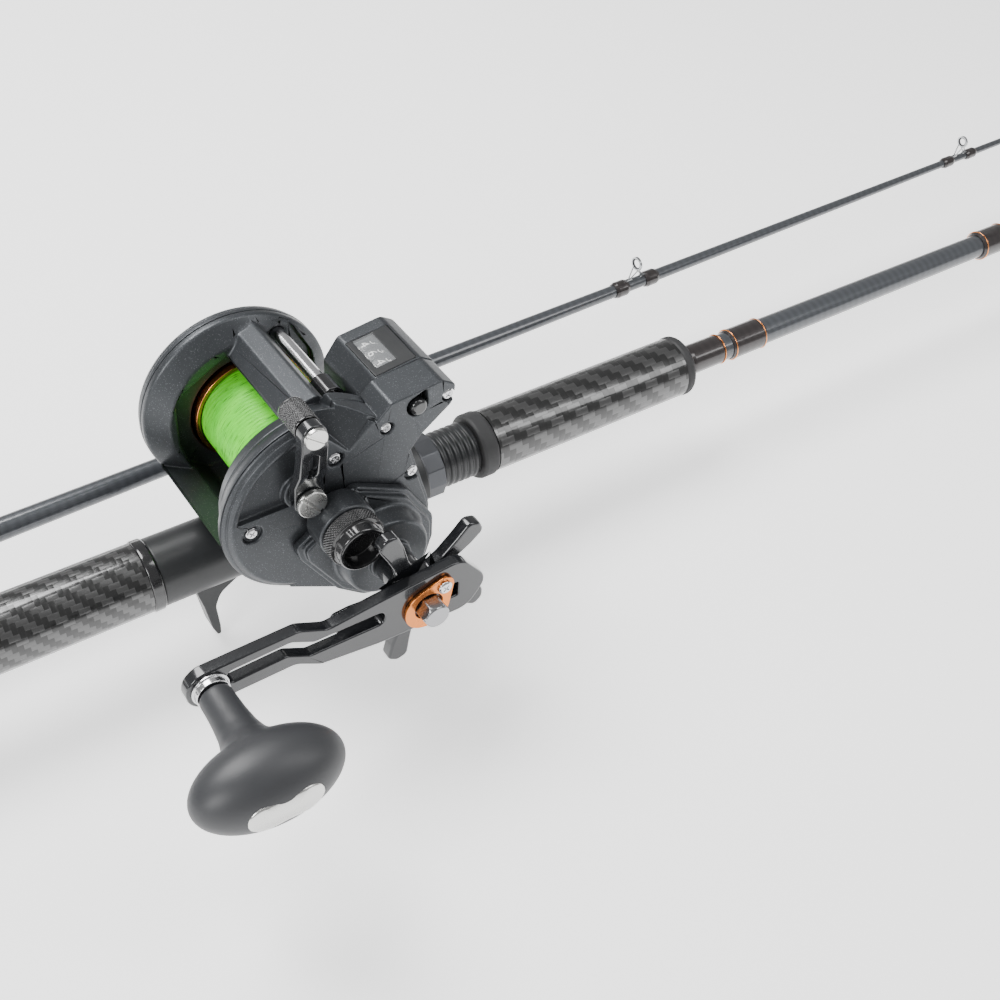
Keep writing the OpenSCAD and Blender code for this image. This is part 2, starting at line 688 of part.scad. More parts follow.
// Cross-recessed screw whose head stands outwards (-Y) from the seat at y
module pan_screw(c, y, head, shank, l) {
    difference() {
        union() {
            rod_y(c, y - 0.8, y - 0.02, head);
            rod_y(c, y - 1.3, y - 0.8, head - 0.7, head);
            rod_y(c, y - 0.1, y + l, shank);
        }
        for (a = [0, 90]) translate([c[0], y - 1.3, c[1]]) rotate([0, a + 45, 0])
            cube([head * 1.1, 1.2, 0.45], center = true);
    }
}

// ---- Spool ----

module spool() {
    a = flange_y[0];
    b = flange_y[1];
    color("#1c1d1f") turned_y(S, [[shaft_r + glue, a - 1], [6, a - 1], [7, a], [flange_r - 1.2, a],
        [flange_r - 1.2, a + flange_t], [10, a + flange_t], [10, b - flange_t], [flange_r - 1.2, b - flange_t],
        [flange_r - 1.2, b], [9, b], [8, b - 1.6], [shaft_r + glue, b - 1.6]]);
}

module spool_rims() {
    color("#b5622a") for (y = [flange_y[0], flange_y[1] - flange_t])
        turned_y(S, [[flange_r - 1.15, y], [flange_r - 0.4, y], [flange_r, y + 0.5], [flange_r, y + flange_t - 0.5],
            [flange_r - 0.4, y + flange_t], [flange_r - 1.15, y + flange_t]]);
}

module line_pack() {
    a = flange_y[0] + flange_t + glue;
    b = flange_y[1] - flange_t - glue;
    color("#6df24a") turned_y(S, [[10 + glue, a], [line_r - 0.8, a], [line_r - 0.2, a + 1.6], [line_r, a + 6],
        [line_r, b - 6], [line_r - 0.2, b - 1.6], [line_r - 0.8, b], [10 + glue, b]]);
}

module spool_shaft() {
    color("silver") rod_y(S, face_y - 15.4, palm_y + 3.8, shaft_r);
}

module gear(c, z, phase, bore) {
    plate(gear_y[0], gear_y[1]) difference() {
        at(c) gear_outline(z, phase);
        at(c) circle(bore);
    }
}

module pinion() {
    color("#b58b3a") {
        gear(S, pinion_z, pinion_phase, shaft_r + glue);
    }
}

module spool_bearings() {
    color("silver") for (y = [palm_y + 1, floor_y + 0.1, face_y - 15])
        difference() {
            rod_y(S, y, y + 2, 5);
            rod_y(S, y - 1, y + 3, shaft_r + run);
        }
}

// ---- Drive ----

module main_gear() {
    color("#b58b3a") difference() {
        gear(D, main_z, main_phase, drive_r + glue);
        for (k = [0:5]) at3(D + polar(13, 60 * k)) rod_y([0, 0], gear_y[0] - 1, gear_y[1] + 1, 3);
    }
}
module at3(c) {
    translate([c[0], 0, c[1]]) children();
}

module idler_gear() {
    color("#b58b3a") gear(I, idler_z, idler_phase, 1.5 + run);
}

module drag_washers() {
    color("#3b3b3b") for (k = [0:7])
        difference() {
            rod_y(D, gear_y[0] - 1.2 * k - 1.1, gear_y[0] - 1.2 * k - 0.1, k % 2 == 0 ? 16.4 : 15.6);
            rod_y(D, gear_y[0] - 14, gear_y[0] + 1, drive_r + glue);
        }
}

module drive_shaft() {
    color("silver") union() {
        rod_y(D, star_y[0] - 0.5, hand_y - 0.8, drive_r);
        rod_y(D, arm_y + arm_t, star_y[0] - 0.4, 5.2);
        rod_y(D, arm_y, arm_y + arm_t, 3.4);
        rod_y(D, arm_y - 6, arm_y, 2.6);
    }
}

star_arm = [[6, -4.4], [17, -3], [26, -4.2], [33.2, -4], [34.6, 0.6], [32, 4.6], [24, 3.6], [16, 3], [6, 4.4]];

module star_drag() {
    color("#101112") difference() {
        union() {
            rod_y(D, star_y[0], star_y[1] - 1, 10.4);
            rod_y(D, star_y[1] - 1, face_y - 16.6, 7.6);
            for (k = [0:4]) translate([D[0], 0, D[1]]) rotate([0, -39 - 72 * k, 0])
                plate(star_y[0], star_y[1] - 2) polygon(rounded(star_arm, [1, 8, 8, 2.5, 3, 3, 8, 8, 1]));
        }
        rod_y(D, star_y[0] - 1, face_y, drive_r + run);
    }
}

arm_pts = [[238.6, 17], [279, 18.2], [288.6, 12.4], [312, 9.6], [350, 8.6], [358.4, 20], [347, 34.8],
           [312, 31.4], [292, 29], [281, 34.4], [238.6, 33.6]];
slot_pts = [[253.6, 29.5], [277.6, 30.4], [286.4, 25.5], [314.6, 25.4], [314.6, 19.4], [284.8, 19.5], [276, 24.4],
            [253.6, 23.5]];
retain_c = [338.4, 26.9];          // screw that holds the nut retainer

module crank_arm() {
    color("#141516") plate(arm_y, arm_y + arm_t) difference() {
        polygon(rounded(arm_pts, [8, 7, 7, 20, 9, 6, 8, 20, 6, 6, 8], 6));
        polygon(rounded(slot_pts, [2.4, 4, 4, 2.7, 2.7, 4, 4, 2.4], 5));
        at(D) circle(3.4 + glue);
        at(K) circle(3 + glue);
        at(retain_c) circle(1.25);
        translate([341.9, 17.2]) square([3.6, 6.8]);
    }
}

module crank_nut() {
    color("#d8d8da") difference() {
        intersection() {
            translate([D[0], arm_y - glue, D[1]]) rotate([90, 0, 0]) cylinder(h = 8, r = 5.6, $fn = 6);
            rod_y(D, arm_y - 8.2, arm_y, 4.4, 9.6);
        }
        rod_y(D, arm_y - 6.2, arm_y + 1, 2.6 + glue);
    }
}

module nut_retainer() {
    color("#d2691e") plate(arm_y - 1.6, arm_y - glue) difference() {
        belt(D + [-0.4, -1], 9.4, retain_c, 4.2);
        at(D) circle(5.8);
        at(retain_c) circle(1.25);
    }
}

module retainer_screw() {
    color("silver") pan_screw(retain_c, arm_y - 1.6, 2.8, 1.2, 4);
}

module knob_post() {
    color("silver") {
        rod_y(K, knob_y, arm_y + arm_t, 3);
        rod_y(K, arm_y + arm_t, arm_y + arm_t + 1.2, 4.6);
    }
}

module knob_bushings() {
    color("silver") difference() {
        union() {
            rod_y(K, arm_y - 1, arm_y - glue, 6.9);
            rod_y(K, arm_y - 3.4, arm_y - 1, 6.3);
        }
        rod_y(K, arm_y - 4, arm_y + 1, 3 + glue);
    }
}

module oval(r, h) {
    w = 7.6;
    for (s = [-1, 1]) at(K + [s * w, 0]) circle(r);
    at(K + [-w, -r]) square([2 * w, 2 * r]);
}
// Egg-shaped body turned about its long axis, which runs along X
module egg(grow) {
    a = knob_size[0] / 2 + grow;
    b = knob_size[1] / 2 + grow;
    n = 18;
    translate([K[0], knob_y, K[1]])
        turned([for (k = [0:n]) [b * sin(180 * k / n), -a * cos(180 * k / n)]]);
}

module crank_knob() {
    color("#26282a") difference() {
        union() {
            egg(0);
            turned_y(K, [[0, knob_y + 6], [10.5, knob_y + 12], [8.2, knob_y + 16], [7, knob_y + 22],
                [6.2, arm_y - 8], [6.2, arm_y - 3.8], [0, arm_y - 3.8]]);
        }
        rod_y(K, knob_y - 0.4, arm_y, 3 + run);
        plate(knob_y - 20, knob_y - 11.6) oval(5.9);
    }
}

module knob_cap() {
    color("#c9ccce") intersection() {
        egg(0.35);
        plate(knob_y - 20, knob_y - 11.6 - glue) oval(5.85);
    }
}

// ---- Controls ----

module cast_control_cap() {
    color("#111213") turned_y(S, [[0, face_y - 16.6], [0, face_y - 18.4], [7.7, face_y - 18.4], [7.7, face_y - 24],
        [8.9, face_y - 24], [9.4, face_y - 23.4], [9.4, face_y - 19.8], [10.6, face_y - 19.8], [11.2, face_y - 19.2],
        [11.2, face_y - 14.2], [10.6, face_y - 13.6], [7.5 + run, face_y - 13.6], [7.5 + run, face_y - 16.6]]);
}

lever_end = [305, 89.5];
lever_side = [[-47.6, 44], [-42.6, 44], [-42.6, 61], [-46.6, 70], [-49, 84], [-49, 96], [-54, 96], [-54, 84],
              [-51.4, 71], [-47.6, 63]];

module clutch_lever() {
    color("#121314") difference() {
        union() {
            rod_y(L, face_y - 5.6, face_y - 0.6, 6);
            intersection() {
                translate([295, 0, 0]) rotate([90, 0, 90]) linear_extrude(20) polygon(lever_side);
                plate(-60, -40) belt(L, 6, lever_end, 4.9);
            }
        }
        rod_y(L, -60, -30, 3 + run);
        rod_y(lever_end, -60, -40, 1.5 + glue);
        plate(-60, -40) belt([305, 69], 1.7, [305, 79], 1.7);
    }
}

module lever_knob() {
    color("#1a1a1b") {
        rod_y(lever_end, -48.9, -37, 5.2);
        rod_y(lever_end, -37, -36, 5.2, 4.4);
        rod_y(lever_end, -54.1, -48.5, 1.5);
        difference() {
            rod_y(lever_end, -55.6, -54.1, 4.1, 4.4);
            translate([lever_end[0], -55.6, lever_end[1]]) rotate([0, 40, 0]) cube([10, 1, 0.9], center = true);
        }
    }
}

module lever_screw() {
    color("#c4c0b8") difference() {
        union() {
            rod_y(L, face_y - 8, face_y - 5.9, 5.6, 6);
            rod_y(L, face_y - 6, floor_y + 0.2, 3);
        }
        translate([L[0], face_y - 8, L[1]]) rotate([0, 50, 0]) cube([13, 1.6, 1.4], center = true);
    }
}

// ---- Level wind ----

module worm_shaft() {
    color("silver") union() {
        rod_y(W, gear_y[0] - 0.4, palm_y - 2, 2.3);
        plate(worm_gear_y, gear_y[1]) at(W) gear_outline(worm_z, worm_phase);
    }
}

module guide_tube() {
    color("#c8c9cb") {
        difference() {
            rod_y(W, hand_y + 0.2, palm_y - 1.7, worm_tube_r);
            rod_y(W, hand_y - 1, palm_y, 2.3 + run);
            rod_y(W, hand_y + 4, palm_in_y - 2, 2.7);
            translate([W[0], 0, W[1]]) rotate([0, 20, 0]) translate([-1.1, -20, -5]) cube([2.2, 41, 5]);
        }
        rod_y(G, hand_y + 2.2, palm_y - 1.7, guide_rod_r);
    }
}

eye = [335, 57.6];
guide_y = -12.5;

module line_guide() {
    color("#101010") difference() {
        union() {
            rod_y(W, guide_y - 5, guide_y + 5, 4.7);
            plate(guide_y - 2, guide_y + 2) belt(W, 4, G, 3.4);
            plate(guide_y - 2, guide_y + 2) belt(G, 3.2, eye, 2.6);
            translate([eye[0] - 2, guide_y, eye[1]]) rotate([0, 90, 0]) cylinder(h = 4, r = 3.8);
        }
        rod_y(W, guide_y - 6, guide_y + 6, worm_tube_r + run);
        rod_y(G, guide_y - 6, guide_y + 6, guide_rod_r + run);
        translate([eye[0] - 4, guide_y, eye[1]]) rotate([0, 90, 0]) cylinder(h = 8, r = 2);
    }
}

butt_cap();
rear_grip();
grip_cores();
rear_ring();
reel_seat();
front_hood();
hood_nut();
fore_grip();
fore_grip_rings();
winding_check();
butt_blank();
butt_wraps();
butt_guide_frame();
butt_guide_ring();
tip_blank();
tip_wraps();
tip_guide_frames();
tip_guide_rings();
tip_top();
tip_top_ring();
reel_foot();
reel_frame();
palm_cover();
handle_side_plate();
gear_cover();
counter_housing();
counter_bezel();
counter_lens();
hundreds_wheel();
tens_wheel();
ones_wheel();
counter_shaft();
reset_button();
cover_screws();
spool();
spool_rims();
line_pack();
spool_shaft();
pinion();
spool_bearings();
main_gear();
idler_gear();
drag_washers();
drive_shaft();
star_drag();
crank_arm();
crank_nut();
nut_retainer();
retainer_screw();
knob_post();
crank_knob();
knob_cap();
knob_bushings();
cast_control_cap();
clutch_lever();
lever_knob();
lever_screw();
worm_shaft();
guide_tube();
line_guide();
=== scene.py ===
import bpy
import bmesh
import json
import math
from mathutils import Matrix, Vector


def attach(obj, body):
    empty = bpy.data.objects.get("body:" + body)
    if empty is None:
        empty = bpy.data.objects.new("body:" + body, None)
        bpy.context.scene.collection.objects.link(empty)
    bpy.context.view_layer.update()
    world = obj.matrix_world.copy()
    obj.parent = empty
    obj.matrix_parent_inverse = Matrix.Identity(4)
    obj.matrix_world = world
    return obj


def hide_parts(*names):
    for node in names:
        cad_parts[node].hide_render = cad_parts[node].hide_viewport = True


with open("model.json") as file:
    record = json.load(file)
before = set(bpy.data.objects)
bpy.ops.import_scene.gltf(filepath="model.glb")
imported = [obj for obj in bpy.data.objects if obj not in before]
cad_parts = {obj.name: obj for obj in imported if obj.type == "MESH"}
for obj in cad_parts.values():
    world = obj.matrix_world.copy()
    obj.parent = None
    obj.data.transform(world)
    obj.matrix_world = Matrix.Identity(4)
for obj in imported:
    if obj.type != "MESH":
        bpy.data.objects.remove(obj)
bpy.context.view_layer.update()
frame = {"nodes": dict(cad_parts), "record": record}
N = frame["nodes"]
BODY = {}
for body_name, members in frame["record"]["behaviour"]["bodies"].items():
    for member in members:
        BODY[member] = body_name
MM = 0.001

# Axes of the reel that run along Y, as (x, z) in millimetres: spool, counter wheels, crank knob, lever's end
S = (316.0, 41.0)
C = (352.0, 72.0)
K = (247.0, 26.0)
LEVER_END = (305.0, 89.5)
ARM_Y = -83.0
KNOB_Y = -125.5

# Half length and radius of the knob's oval, in millimetres
OVAL_A = 26.9
OVAL_B = 15.1

# CAD nodes whose flat faces stay as triangles, because merging them spoils their shading
KEEP_TRIANGLES = ("handle_side_plate", "reel_frame")
SHARP_ANGLE = 28.0
FACE_SHARE = 0.62


# ------------------------------------------------------------------ materials
class Mat:
    """Builds one procedural material around a Principled shader."""

    def __init__(self, name, color, rough=0.4, metal=0.0, spec=0.5, coat=0.0, coat_rough=0.05):
        self.m = bpy.data.materials.new(name)
        self.m.use_nodes = True
        self.t = self.m.node_tree
        self.b = self.t.nodes["Principled BSDF"]
        self.set("Base Color", (*color, 1.0))
        self.set("Roughness", rough)
        self.set("Metallic", metal)
        self.set("Specular IOR Level", spec)
        self.set("Coat Weight", coat)
        self.set("Coat Roughness", coat_rough)
        self._obj = None

    def set(self, key, value):
        self.b.inputs[key].default_value = value

    def node(self, kind, inputs=None, **props):
        n = self.t.nodes.new(kind)
        for k, v in props.items():
            setattr(n, k, v)
        for k, v in (inputs or {}).items():
            self.feed(v, n.inputs[k])
        return n

    def feed(self, value, socket):
        if isinstance(value, bpy.types.NodeSocket):
            self.t.links.new(value, socket)
        else:
            socket.default_value = value

    def math(self, op, a, b=None):
        ins = {0: a}
        if b is not None:
            ins[1] = b
        return self.node("ShaderNodeMath", ins, operation=op).outputs[0]

    def mul(self, a, b):
        return self.math("MULTIPLY", a, b)

    def add(self, a, b):
        return self.math("ADD", a, b)

    def choose(self, share, a, b):
        """share of a and the rest of b, for plain numbers."""
        return self.add(self.mul(share, a), self.mul(self.math("SUBTRACT", 1.0, share), b))

    def coords(self):
        """Object coordinates, which are row-frame metres on every piece here."""
        if self._obj is None:
            self._obj = self.node("ShaderNodeTexCoord").outputs["Object"]
        return self._obj

    def xyz(self):
        n = self.node("ShaderNodeSeparateXYZ", {0: self.coords()})
        return n.outputs[0], n.outputs[1], n.outputs[2]

    def vec(self, x, y, z):
        return self.node("ShaderNodeCombineXYZ", {0: x, 1: y, 2: z}).outputs[0]

    def noise(self, vector, scale, detail=3.0, rough=0.5):
        ins = {"Vector": vector, "Scale": scale, "Detail": detail, "Roughness": rough}
        return self.node("ShaderNodeTexNoise", ins).outputs["Fac"]

    def remap(self, value, a, b, c, d):
        ins = {"Value": value, "From Min": a, "From Max": b, "To Min": c, "To Max": d}
        return self.node("ShaderNodeMapRange", ins).outputs["Result"]

    def mix(self, fac, a, b):
        n = self.node("ShaderNodeMix", data_type="RGBA")
        self.feed(fac, n.inputs[0])
        self.feed(a, n.inputs[6])
        self.feed(b, n.inputs[7])
        return n.outputs[2]

    def bump(self, height, distance, strength=1.0):
        ins = {"Height": height, "Distance": distance, "Strength": strength}
        return self.node("ShaderNodeBump", ins).outputs[0]


def C4(r, g, b):
    return (r, g, b, 1.0)


def shade(color, share):
    """The colour made lighter or darker by a share."""
    return C4(*[c * share for c in color])


def graphite_paint(name, base=(0.046, 0.050, 0.055)):
    """Satin metallic grey with a fine grain and sparse bright flakes."""
    k = Mat(name, base, 0.36, 0.6, 0.5, 0.15, 0.22)
    grain = k.noise(k.coords(), 5200.0, 2.0, 0.6)
    flake = k.node("ShaderNodeTexVoronoi", {"Vector": k.coords(), "Scale": 5200.0}).outputs["Color"]
    red = k.node("ShaderNodeSeparateColor", {0: flake}).outputs[0]
    bright = k.math("GREATER_THAN", red, 0.965)
    cloud = k.noise(k.coords(), 90.0, 2.0, 0.5)
    tone = k.mix(k.remap(cloud, 0.3, 0.7, 0.0, 1.0), shade(base, 0.93), shade(base, 1.07))
    k.feed(k.mix(k.mul(bright, 0.22), tone, C4(0.42, 0.44, 0.47)), k.b.inputs["Base Color"])
    k.feed(k.remap(grain, 0.2, 0.8, 0.34, 0.47), k.b.inputs["Roughness"])
    k.feed(k.bump(grain, 0.00002, 0.35), k.b.inputs["Normal"])
    return k.m


def plastic(name, color, rough, grain=0.0, scale=3000.0, **kw):
    """Moulded plastic or rubber with an optional fine grain."""
    k = Mat(name, color, rough, **kw)
    smudge = k.noise(k.coords(), 60.0, 4.0, 0.6)
    k.feed(k.remap(smudge, 0.3, 0.7, rough * 0.88, rough * 1.14), k.b.inputs["Roughness"])
    if grain:
        n = k.noise(k.coords(), scale, 2.0, 0.6)
        k.feed(k.bump(n, grain, 0.6), k.b.inputs["Normal"])
    return k.m


def metal(name, color, rough, scratch=0.0, axis=1):
    """Bare metal; scratch adds fine lines that run round the given axis."""
    k = Mat(name, color, rough, 1.0)
    smudge = k.noise(k.coords(), 120.0, 3.0, 0.6)
    k.feed(k.remap(smudge, 0.3, 0.7, rough * 0.8, rough * 1.25), k.b.inputs["Roughness"])
    if scratch:
        x, y, z = k.xyz()
        parts = [k.mul(c, 9000.0 if i == axis else 60.0) for i, c in enumerate((x, y, z))]
        lines = k.noise(k.vec(*parts), 1.0, 2.0, 0.6)
        k.feed(k.bump(lines, scratch, 0.5), k.b.inputs["Normal"])
    return k.m


def weave(name, radius, cell, tone):
    """Two-by-two twill of flat carbon tows round the X axis, under a clear gloss coat, with painted sheen on
    the warp tows and painted shade on the weft tows.
    """
    k = Mat(name, (0.03, 0.03, 0.03), 0.32, 0.85, 0.5, 0.9, 0.06)
    x, y, z = k.xyz()
    angle = k.math("ARCTAN2", y, z)
    turns = round(2 * math.pi * radius / cell / 4) * 4
    u = k.math("DIVIDE", x, cell)
    v = k.add(k.mul(angle, turns / (2 * math.pi)), 400.0)
    iu, iv = k.math("FLOOR", u), k.math("FLOOR", v)
    fu, fv = k.math("FRACT", u), k.math("FRACT", v)
    phase = k.math("FLOORED_MODULO", k.add(iu, iv), 4.0)
    warp = k.math("LESS_THAN", phase, 1.5)

    def tow(across, along):
        """Height of a tow, rounded across its width and dipping where it passes under."""
        crown = k.math("POWER", k.math("SINE", k.mul(across, math.pi)), 0.4)
        place = k.add(k.math("FLOORED_MODULO", phase, 2.0), along)
        run = k.math("SINE", k.mul(place, math.pi / 2))
        return k.mul(crown, k.add(0.6, k.mul(run, 0.4)))

    height = k.choose(warp, tow(fv, fu), tow(fu, fv))
    fibre_u = k.noise(k.vec(k.mul(u, 0.6), k.mul(v, 24.0), 0.0), 1.0, 2.0, 0.6)
    fibre_v = k.noise(k.vec(k.mul(u, 24.0), k.mul(v, 0.6), 3.0), 1.0, 2.0, 0.6)
    fibre = k.choose(warp, fibre_u, fibre_v)
    grey = (tone, tone, tone)
    # Painted sheen and shade: the warp tows are painted lighter and the weft tows darker, standing in for the
    # fibres' differing highlights; the fibre noise within each tow is grain.
    light = k.mix(fibre, shade(grey, 0.7), shade(grey, 1.35))
    weft_painted_shade = k.mix(fibre, shade(grey, 0.25), shade(grey, 0.5))
    k.feed(k.mix(warp, weft_painted_shade, light), k.b.inputs["Base Color"])
    total = k.add(height, k.mul(fibre, 0.12))
    k.feed(k.bump(total, 0.00012, 0.8), k.b.inputs["Normal"])
    coat = k.noise(k.coords(), 240.0, 2.0, 0.5)
    k.feed(k.bump(coat, 0.00006, 0.3), k.b.inputs["Coat Normal"])
    return k.m


def lacquer(name, base):
    """Graphite blank: dark grey lacquer with faint spiral tape marks."""
    k = Mat(name, base, 0.3, 0.35, 0.5, 0.7, 0.08)
    x, y, z = k.xyz()
    angle = k.math("ARCTAN2", y, z)
    spiral = k.math("SINE", k.add(k.mul(x, 2 * math.pi / 0.0042), angle))
    tone = k.mix(k.remap(spiral, -1.0, 1.0, 0.0, 1.0), shade(base, 0.9), shade(base, 1.1))
    k.feed(tone, k.b.inputs["Base Color"])
    k.feed(k.bump(spiral, 0.00002, 0.25), k.b.inputs["Normal"])
    k.feed(k.bump(k.noise(k.coords(), 180.0, 2.0, 0.5), 0.00008, 0.2), k.b.inputs["Coat Normal"])
    return k.m


def line_material():
    """Bright nylon line wound side by side, with painted shade darkening the gap between turns."""
    k = Mat("nylon_line", (0.14, 0.80, 0.03), 0.45, 0.0, 0.3, 0.05, 0.3)
    x, y, z = k.xyz()
    dx = k.math("SUBTRACT", x, S[0] * MM)
    dz = k.math("SUBTRACT", z, S[1] * MM)
    angle = k.math("ARCTAN2", dx, dz)
    lean = k.add(y, k.mul(angle, 0.0011))
    back = k.math("SUBTRACT", y, k.mul(angle, 0.0016))
    streak = k.noise(k.vec(k.mul(lean, 1900.0), k.mul(angle, 2.4), 0.0), 1.0, 3.0, 0.65)
    cross = k.noise(k.vec(k.mul(back, 1300.0), k.mul(angle, 1.3), 7.0), 1.0, 2.0, 0.6)
    # Painted shade: the gaps between turns are painted a darker green where shade falls between them.
    along_gap_shade = k.remap(streak, 0.56, 0.66, 0.0, 1.0)
    cross_gap_shade = k.remap(cross, 0.64, 0.76, 0.0, 0.8)
    gap_shade = k.math("MAXIMUM", along_gap_shade, cross_gap_shade)
    broad = k.noise(k.vec(k.mul(y, 160.0), k.mul(angle, 0.8), 2.0), 1.0, 2.0, 0.5)
    light = k.mix(k.remap(broad, 0.3, 0.7, 0.0, 1.0), C4(0.09, 0.66, 0.012), C4(0.16, 0.84, 0.025))
    k.feed(k.mix(gap_shade, light, C4(0.02, 0.22, 0.005)), k.b.inputs["Base Color"])
    wound = k.math("SINE", k.mul(lean, 2 * math.pi / 0.00042))
    k.feed(k.bump(k.add(wound, k.mul(streak, 2.0)), 0.00006, 0.6), k.b.inputs["Normal"])
    return k.m


# ------------------------------------------------------------------ geometry
def adopt(obj, node, hide=True):
    """Puts a new piece on its CAD body and, unless hide is off, hides the CAD node it stands for."""
    if obj.name not in bpy.context.scene.collection.objects:
        bpy.context.scene.collection.objects.link(obj)
    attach(obj, BODY[node])
    if hide:
        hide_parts(node)
    return obj


def mesh_object(name, verts, faces, material, smooth=True):
    me = bpy.data.meshes.new(name)
    me.from_pydata([tuple(v) for v in verts], [], faces)
    me.validate()
    me.materials.append(material)
    if smooth:
        me.polygons.foreach_set("use_smooth", [True] * len(me.polygons))
    return bpy.data.objects.new(name, me)


def face_out(mesh):
    """Turns every face of a closed mesh outwards."""
    bm = bmesh.new()
    bm.from_mesh(mesh)
    bmesh.ops.recalc_face_normals(bm, faces=bm.faces)
    bm.to_mesh(mesh)
    bm.free()


def room_of_faces(bm, sharp):
    """Area over rim length of each patch of faces between sharp edges: the patch of a face, and the rooms."""
    patch, room = {}, []
    for first in bm.faces:
        if first in patch:
            continue
        index = len(room)
        patch[first] = index
        stack, area, rim = [first], 0.0, 0.0
        while stack:
            face = stack.pop()
            area += face.calc_area()
            for edge in face.edges:
                if sharp[edge.index]:
                    rim += edge.calc_length()
                    continue
                for other in edge.link_faces:
                    if other not in patch:
                        patch[other] = index
                        stack.append(other)
        room.append(area / rim if rim > 0 else 1.0)
    return patch, room


def refine(node, material, width):
    """A copy of a CAD node with its sharp edges rounded, each no more than its faces have room for."""
    src = N[node]
    me = src.data.copy()
    me.transform(src.matrix_world)
    bm = bmesh.new()
    bm.from_mesh(me)
    bmesh.ops.remove_doubles(bm, verts=bm.verts, dist=2e-6)
    if node not in KEEP_TRIANGLES:
        bmesh.ops.dissolve_limit(bm, angle_limit=math.radians(0.3), verts=bm.verts, edges=bm.edges)
    name = "bevel_weight_edge"
    layer = bm.edges.layers.float.get(name) or bm.edges.layers.float.new(name)
    bm.edges.index_update()
    limit = math.radians(SHARP_ANGLE)
    sharp = [len(e.link_faces) == 2 and e.calc_face_angle(0.0) > limit for e in bm.edges]
    patch, room = room_of_faces(bm, sharp)
    for e in bm.edges:
        if sharp[e.index]:
            least = min(room[patch[f]] for f in e.link_faces)
            e[layer] = max(0.0, min(1.0, FACE_SHARE * least / (width * MM)))
    for f in bm.faces:
        f.smooth = True
    bm.to_mesh(me)
    bm.free()
    me.name = node + "_fine"
    me.materials.clear()
    me.materials.append(material)
    obj = bpy.data.objects.new(node + "_fine", me)
    bpy.context.scene.collection.objects.link(obj)
    bevel = obj.modifiers.new("edges", "BEVEL")
    bevel.width = width * MM
    bevel.segments = 3
    bevel.limit_method = "WEIGHT"
    bevel.use_clamp_overlap = False
    bevel.miter_outer = "MITER_ARC"
    bevel.harden_normals = False
    normal = obj.modifiers.new("normals", "WEIGHTED_NORMAL")
    normal.keep_sharp = True
    normal.weight = 60
    return adopt(obj, node)


def lathe_y(name, c, rows, steps, material, knurl=0.0, around=0, along=0.0):
    """Turned piece about an axis along Y. rows are (radius, y, cut) and cut rows carry a diamond knurl."""
    verts, faces = [], []
    rings = []
    for radius, y, cut in rows:
        if radius < 1e-6:
            rings.append([len(verts)])
            verts.append((c[0] * MM, y * MM, c[1] * MM))
            continue
        ring = []
        for i in range(steps):
            t = i / steps
            a = 2 * math.pi * t
            r = radius
            if cut:
                p = (t * around + y * along) % 1.0
                q = (t * around - y * along) % 1.0
                h = min(1 - abs(2 * p - 1), 1 - abs(2 * q - 1))
                r -= knurl * cut * (1 - min(1.0, h * 1.35))
            ring.append(len(verts))
            verts.append(((c[0] + r * math.cos(a)) * MM, y * MM, (c[1] + r * math.sin(a)) * MM))
        rings.append(ring)
    for a, b in zip(rings, rings[1:]):
        if len(a) == 1 and len(b) == 1:
            continue
        for i in range(steps):
            j = (i + 1) % steps
            if len(a) == 1:
                faces.append((a[0], b[j], b[i]))
            elif len(b) == 1:
                faces.append((a[i], a[j], b[0]))
            else:
                faces.append((a[i], a[j], b[j], b[i]))
    obj = mesh_object(name, verts, faces, material)
    bm = bmesh.new()
    bm.from_mesh(obj.data)
    bmesh.ops.recalc_face_normals(bm, faces=bm.faces)
    for e in bm.edges:
        if len(e.link_faces) == 2 and e.calc_face_angle(0.0) > math.radians(32) and not knurl:
            e.smooth = False
    bm.to_mesh(obj.data)
    bm.free()
    bpy.context.scene.collection.objects.link(obj)
    return obj


def arc_rows(points):
    """Rows with each inner corner of the profile rounded a little, given as (radius, y, round)."""
    n = 4
    out = []
    for i, (r, y, rr) in enumerate(points):
        if rr <= 0 or i == 0 or i == len(points) - 1:
            out.append((r, y, 0))
            continue
        p = Vector((r, y))
        a = Vector(points[i - 1][:2]) - p
        b = Vector(points[i + 1][:2]) - p
        d = min(rr, a.length * 0.45, b.length * 0.45)
        a.normalize()
        b.normalize()
        s, e = p + a * d, p + b * d
        for k in range(n + 1):
            t = k / n
            q = s * (1 - t) ** 2 + p * 2 * t * (1 - t) + e * t ** 2
            out.append((q.x, q.y, 0))
    return out


def ring_x(name, x, r, tube, material, node):
    """A thin ring round the butt section at x."""
    verts, faces = [], []
    steps, sides = 48, 8
    for i in range(steps):
        a = 2 * math.pi * i / steps
        for j in range(sides):
            b = 2 * math.pi * j / sides
            rr = r + tube * math.sin(b)
            verts.append(((x + tube * math.cos(b)) * MM, rr * math.cos(a) * MM, rr * math.sin(a) * MM))
    for i in range(steps):
        for j in range(sides):
            i2, j2 = (i + 1) % steps, (j + 1) % sides
            faces.append((i * sides + j, i2 * sides + j, i2 * sides + j2, i * sides + j2))
    o = mesh_object(name, verts, faces, material)
    bpy.context.scene.collection.objects.link(o)
    return adopt(o, node, hide=False)


